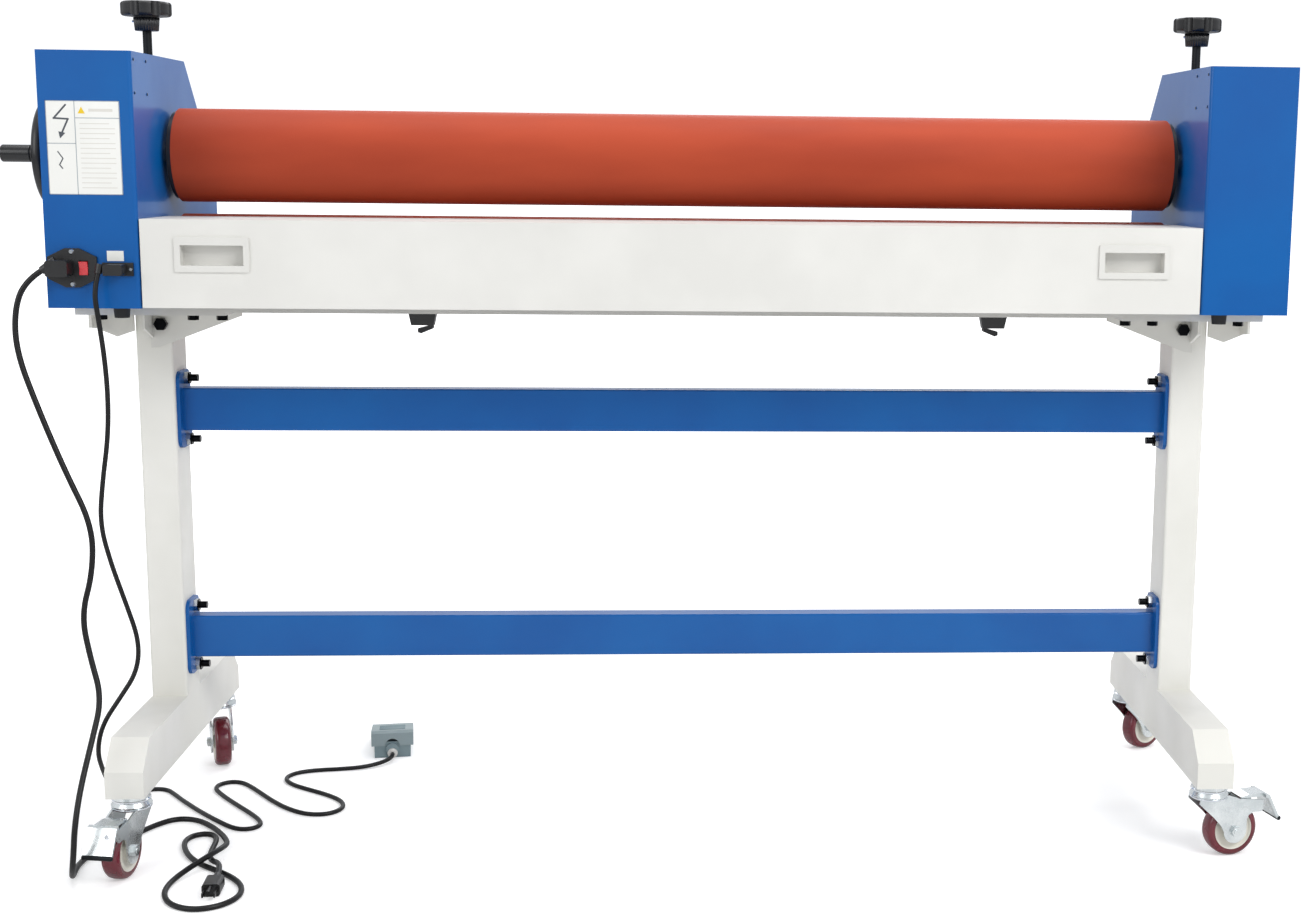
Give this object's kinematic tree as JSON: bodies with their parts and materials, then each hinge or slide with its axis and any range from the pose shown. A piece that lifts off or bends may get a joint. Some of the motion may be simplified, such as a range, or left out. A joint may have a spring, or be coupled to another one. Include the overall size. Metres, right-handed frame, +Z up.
{
  "type": "cold roll laminator",
  "caption": "Free-standing cold roll laminator: two long rubber rollers between blue housings, star knobs, crank wheel, feed table, braked caster stand, foot pedal and mains cord.",
  "frame": {"origin": "middle of the machine's footprint on the floor, measured with the foot pedal and without the cords", "axes": "+X along the rollers from the hand wheel towards the plain housing, +Y from the operator's feed side to the outfeed side, +Z up"},
  "size_m": [1.7298, 0.7352, 1.142],
  "materials": {
    "cord_black": "black cord jacket",
    "label_white": "printed white film",
    "paint_black": "black paint",
    "paint_blue": "blue powder coat",
    "paint_light_grey": "light grey paint",
    "paint_white": "white powder coat",
    "plastic_black": "black plastic",
    "plastic_grey": "blue-grey plastic",
    "plastic_red": "red translucent plastic",
    "plastic_white": "white plastic",
    "rubber_black": "black rubber",
    "rubber_red": "red-brown silicone rubber",
    "steel_black": "phosphated steel",
    "steel_bright": "bright steel",
    "tyre_maroon": "maroon polyurethane",
    "zinc_plate": "zinc-plated steel"
  },
  "bodies": {
    "frame": {"side_frames": "steel_black", "left_housing": "paint_blue", "right_housing": "paint_blue", "end_covers": "paint_blue", "tie_bars": "steel_bright", "base_rails": "paint_light_grey", "pressure_nuts": "steel_black", "lower_bearings": "steel_bright", "gear_motor": "paint_black", "drive_chain": "steel_bright", "head_feet": "rubber_black", "power_inlet": "plastic_black", "pedal_socket": "plastic_black", "labels": "label_white", "panel_screws": "steel_bright", "left_leg": "paint_white", "right_leg": "paint_white", "cross_beams": "paint_blue", "head_brackets": "paint_light_grey", "stand_bolts": "steel_bright", "caster_plates": "zinc_plate", "table_runners": "plastic_black", "catch_bodies": "plastic_black", "pedal_base": "plastic_grey", "power_cord": "cord_black", "mains_connector": "plastic_black", "mains_plug": "plastic_black", "pedal_cord": "cord_black", "pedal_plug": "plastic_black"},
    "upper_carriage": {"bearing_blocks": "steel_black"},
    "upper_roller": {"upper_roller_core": "steel_bright", "upper_roller_sleeve": "rubber_red", "upper_end_discs": "plastic_black", "handwheel": "plastic_black"},
    "grip": {"crank_grip": "plastic_black"},
    "left_screw_knob": {"left_knob": "plastic_black", "left_pressure_screw": "steel_bright"},
    "right_screw_knob": {"right_knob": "plastic_black", "right_pressure_screw": "steel_bright"},
    "lower_roller": {"lower_roller_core": "steel_bright", "lower_roller_sleeve": "rubber_red", "lower_end_discs": "plastic_black", "lower_sprocket": "steel_bright"},
    "motor_output": {"motor_sprocket": "steel_bright"},
    "table": {"feed_table": "paint_white", "table_pulls": "plastic_white"},
    "rocker": {"power_rocker": "plastic_red"},
    "tread": {"pedal_tread": "plastic_grey"},
    "left_catch": {"left_catch_lever": "plastic_black"},
    "right_catch": {"right_catch_lever": "plastic_black"},
    "front_left_swivel": {"front_left_fork": "zinc_plate"},
    "front_left_roller": {"front_left_wheel": "tyre_maroon"},
    "front_left_brake_pedal": {"front_left_brake": "zinc_plate"},
    "front_right_swivel": {"front_right_fork": "zinc_plate"},
    "front_right_roller": {"front_right_wheel": "tyre_maroon"},
    "front_right_brake_pedal": {"front_right_brake": "zinc_plate"},
    "rear_left_swivel": {"rear_left_fork": "zinc_plate"},
    "rear_left_roller": {"rear_left_wheel": "tyre_maroon"},
    "rear_right_swivel": {"rear_right_fork": "zinc_plate"},
    "rear_right_roller": {"rear_right_wheel": "tyre_maroon"}
  },
  "joints": [
    {"name": "upper_roller_lift", "type": "slide", "parent": "frame", "child": "upper_carriage", "axis": [0, 0, 1], "range_m": [-0.015, 0.01]},
    {"name": "upper_roller_spin", "type": "hinge", "parent": "upper_carriage", "child": "upper_roller", "pos_m": [0.0438, -0.02304, 0.9385], "axis": [1, 0, 0], "continuous": true},
    {"name": "crank_grip_spin", "type": "hinge", "parent": "upper_roller", "child": "grip", "pos_m": [-0.8382, -0.07904, 0.9385], "axis": [1, 0, 0], "continuous": true},
    {"name": "left_knob_turn", "type": "hinge", "parent": "upper_carriage", "child": "left_screw_knob", "pos_m": [-0.6767, -0.02304, 1.1], "axis": [0, 0, 1], "range_deg": [-3120, 2090]},
    {"name": "right_knob_turn", "type": "hinge", "parent": "upper_carriage", "child": "right_screw_knob", "pos_m": [0.7643, -0.02304, 1.1], "axis": [0, 0, 1], "range_deg": [-3120, 2090]},
    {"name": "lower_roller_spin", "type": "hinge", "parent": "frame", "child": "lower_roller", "pos_m": [0.0438, -0.02304, 0.7965], "axis": [1, 0, 0], "continuous": true},
    {"name": "motor_output_spin", "type": "hinge", "parent": "frame", "child": "motor_output", "pos_m": [-0.6592, 0.12696, 0.835], "axis": [1, 0, 0], "continuous": true},
    {"name": "feed_table_pull", "type": "slide", "parent": "frame", "child": "table", "axis": [0, -1, 0], "range_m": [0, 0.11]},
    {"name": "power_rocker_tilt", "type": "hinge", "parent": "frame", "child": "rocker", "pos_m": [-0.7197, -0.20204, 0.794], "axis": [1, 0, 0], "range_deg": [-10, 0]},
    {"name": "pedal_press", "type": "hinge", "parent": "frame", "child": "tread", "pos_m": [-0.42484, 0.318, 0.014], "axis": [0.9903, 0.1392, 0], "range_deg": [0, 4], "stiffness_Nm_per_rad": 0.8, "springref_deg": -8.59},
    {"name": "left_catch_release", "type": "hinge", "parent": "frame", "child": "left_catch", "pos_m": [-0.2912, -0.11704, 0.7138], "axis": [0, -1, 0], "range_deg": [0, 40]},
    {"name": "right_catch_release", "type": "hinge", "parent": "frame", "child": "right_catch", "pos_m": [0.4608, -0.11704, 0.7138], "axis": [0, 1, 0], "range_deg": [0, 40]},
    {"name": "front_left_swivel_turn", "type": "hinge", "parent": "frame", "child": "front_left_swivel", "pos_m": [-0.6812, -0.23804, 0.088], "axis": [0, 0, 1], "continuous": true},
    {"name": "front_left_wheel_roll", "type": "hinge", "parent": "front_left_swivel", "child": "front_left_roller", "pos_m": [-0.6871, -0.27152, 0.0375], "axis": [0.9848, -0.1736, 0], "continuous": true},
    {"name": "front_left_brake_press", "type": "hinge", "parent": "front_left_swivel", "child": "front_left_brake_pedal", "pos_m": [-0.68919, -0.28334, 0.078], "axis": [0.9848, -0.1736, 0], "range_deg": [0, 10]},
    {"name": "front_right_swivel_turn", "type": "hinge", "parent": "frame", "child": "front_right_swivel", "pos_m": [0.7688, -0.23804, 0.088], "axis": [0, 0, 1], "continuous": true},
    {"name": "front_right_wheel_roll", "type": "hinge", "parent": "front_right_swivel", "child": "front_right_roller", "pos_m": [0.80179, -0.22982, 0.0375], "axis": [-0.2419, 0.9703, 0], "continuous": true},
    {"name": "front_right_brake_press", "type": "hinge", "parent": "front_right_swivel", "child": "front_right_brake_pedal", "pos_m": [0.81343, -0.22691, 0.078], "axis": [-0.2419, 0.9703, 0], "range_deg": [0, 10]},
    {"name": "rear_left_swivel_turn", "type": "hinge", "parent": "frame", "child": "rear_left_swivel", "pos_m": [-0.6812, 0.23196, 0.088], "axis": [0, 0, 1], "continuous": true},
    {"name": "rear_left_wheel_roll", "type": "hinge", "parent": "rear_left_swivel", "child": "rear_left_roller", "pos_m": [-0.67069, 0.19962, 0.0375], "axis": [0.9511, 0.309, 0], "continuous": true},
    {"name": "rear_right_swivel_turn", "type": "hinge", "parent": "frame", "child": "rear_right_swivel", "pos_m": [0.7688, 0.23196, 0.088], "axis": [0, 0, 1], "continuous": true},
    {"name": "rear_right_wheel_roll", "type": "hinge", "parent": "rear_right_swivel", "child": "rear_right_roller", "pos_m": [0.79731, 0.25048, 0.0375], "axis": [-0.5446, 0.8387, 0], "continuous": true}
  ],
  "couplings": [
    {"joint": "left_knob_turn", "follows": "upper_roller_lift", "rad_per_m": 3590.4},
    {"joint": "right_knob_turn", "follows": "upper_roller_lift", "rad_per_m": 3590.4},
    {"joint": "motor_output_spin", "follows": "lower_roller_spin", "ratio": 1.5714}
  ]
}
